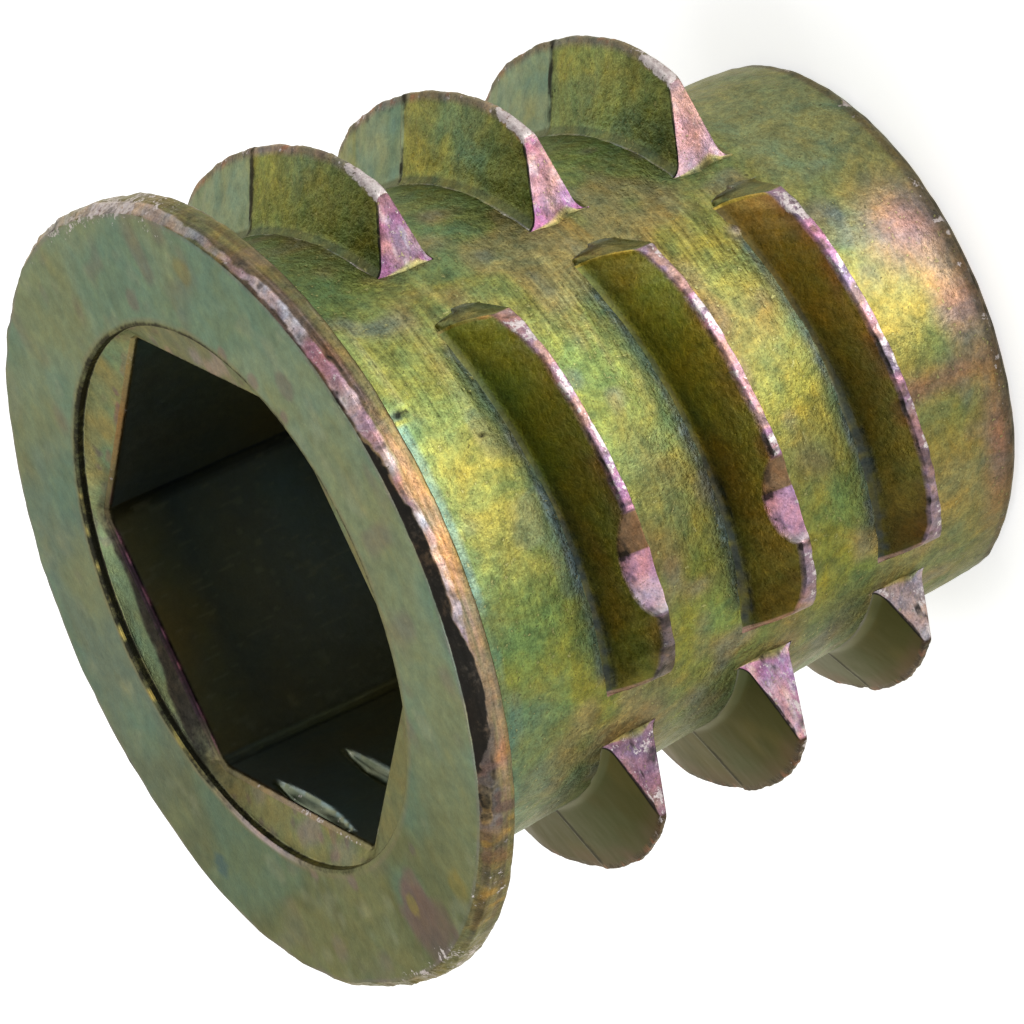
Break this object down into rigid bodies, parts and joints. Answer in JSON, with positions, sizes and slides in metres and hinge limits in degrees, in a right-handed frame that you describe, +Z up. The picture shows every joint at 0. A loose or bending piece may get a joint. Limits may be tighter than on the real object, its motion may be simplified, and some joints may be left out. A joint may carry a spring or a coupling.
{
  "type": "threaded insert",
  "caption": "Die-cast screw-in insert with a round flange, a hex drive socket, a tapped hole and a coarse interrupted outer thread on a tapered body.",
  "frame": {"origin": "on the insert's axis, in the plane of its tip face, on which it stands", "axes": "+Z runs up the axis from the tip to the flange, the way a screw leaves the hole; the casting die opened about along Y, turned 8 degrees clockwise seen from above"},
  "size_m": [0.014, 0.014, 0.0127],
  "materials": {
    "plated_zinc": "cast zinc alloy with a thin yellow-green iridescent passivated plating, satin, worn bright on the edges"
  },
  "bodies": {
    "root": {"threaded_insert": "plated_zinc"}
  },
  "joints": []
}
